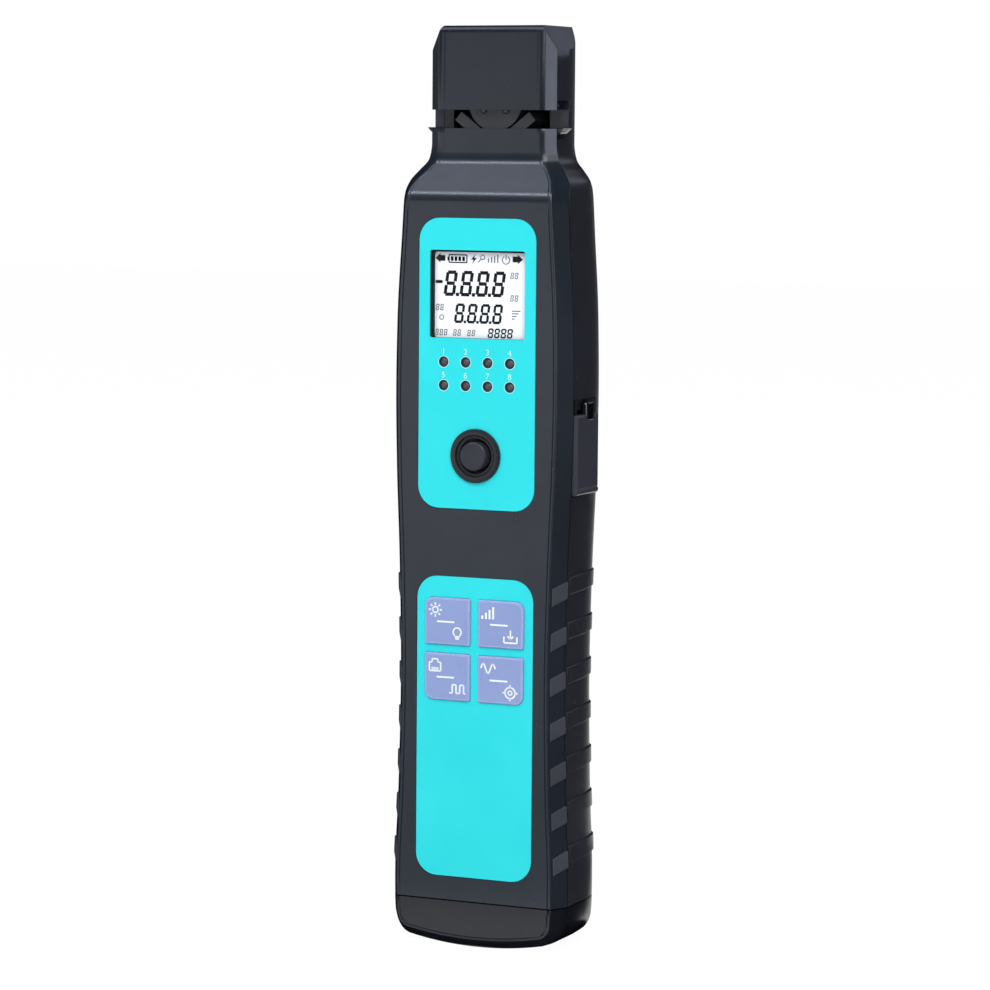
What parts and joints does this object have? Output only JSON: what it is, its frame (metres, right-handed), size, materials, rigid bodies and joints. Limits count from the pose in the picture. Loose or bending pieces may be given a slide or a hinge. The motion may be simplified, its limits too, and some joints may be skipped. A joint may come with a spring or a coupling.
{
  "type": "optical fibre identifier",
  "caption": "Hand-held optical fibre identifier: slim two-shell case, clamp head with a side slot and bending mandrel, round clamp button, display, keys, lamps and a hinged socket cover.",
  "frame": {"origin": "middle of the instrument's width and depth, level with the lowest point of the end cap's curved underside", "axes": "front face with the display faces -Y, the side with the socket cover faces +X, +Z runs from the end cap up to the clamp head"},
  "size_m": [0.0475, 0.0288, 0.221],
  "materials": {
    "front_case": "fine matte moulded texture",
    "side_case": "fine matte moulded texture",
    "head": "fine matte moulded texture",
    "label": "printed film, slight gloss",
    "pane": "clear polished window",
    "display": "pale display glass",
    "lamp": "tinted clear resin",
    "button": "smooth moulded plastic",
    "steel": "drawn and ground steel",
    "mandrel": "smooth machined black resin",
    "detector": "plated can",
    "key": "soft satin rubber",
    "switch": "moulded component body",
    "board": "green solder mask",
    "socket": "plated sheet and turned metal",
    "cover": "soft black rubber",
    "battery": "sleeved cell",
    "torch": "clear lens"
  },
  "bodies": {
    "body": {"front_shell": "front_case", "rear_shell": "side_case", "head_cover": "head", "end_cap": "side_case", "upper_label": "label", "lower_label": "label", "display_pane": "pane", "display_module": "display", "indicator_lamps": "lamp", "button_ring": "button", "press_spring": "steel", "guide_block": "mandrel", "detector_cans": "detector", "key_switches": "switch", "main_board": "board", "network_socket": "socket", "charge_socket": "socket", "battery": "battery", "sounder": "switch", "laser_module": "detector", "laser_port": "socket", "meter_port": "socket", "torch_lamp": "torch", "case_screws": "steel"},
    "button": {"clamp_button": "button"},
    "press": {"bend_mandrel": "mandrel", "mandrel_pins": "steel", "lift_bar": "steel"},
    "laser_key_body": {"laser_key": "key"},
    "save_key_body": {"save_key": "key"},
    "cable_key_body": {"cable_key": "key"},
    "wave_key_body": {"wave_key": "key"},
    "cover": {"port_cover": "cover"}
  },
  "joints": [
    {"name": "press_lift", "type": "slide", "parent": "body", "child": "press", "axis": [0, 0, 1], "range_m": [0, 0.004], "stiffness_N_per_m": 400, "springref_m": -0.003, "deforming": ["press_spring"]},
    {"name": "button_press", "type": "slide", "parent": "body", "child": "button", "axis": [0, 1, 0], "range_m": [0, 0.0032]},
    {"name": "laser_key_press", "type": "slide", "parent": "body", "child": "laser_key_body", "axis": [0, 1, 0], "range_m": [0, 0.0005], "stiffness_N_per_m": 300, "springref_m": -0.0005},
    {"name": "save_key_press", "type": "slide", "parent": "body", "child": "save_key_body", "axis": [0, 1, 0], "range_m": [0, 0.0005], "stiffness_N_per_m": 300, "springref_m": -0.0005},
    {"name": "cable_key_press", "type": "slide", "parent": "body", "child": "cable_key_body", "axis": [0, 1, 0], "range_m": [0, 0.0005], "stiffness_N_per_m": 300, "springref_m": -0.0005},
    {"name": "wave_key_press", "type": "slide", "parent": "body", "child": "wave_key_body", "axis": [0, 1, 0], "range_m": [0, 0.0005], "stiffness_N_per_m": 300, "springref_m": -0.0005},
    {"name": "port_cover_hinge", "type": "hinge", "parent": "body", "child": "cover", "pos_m": [0.02307, -0.00067, 0.11082], "axis": [0, 1, 0], "range_deg": [0, 105]}
  ],
  "couplings": [
    {"joint": "button_press", "follows": "press_lift", "ratio": 0.799}
  ]
}
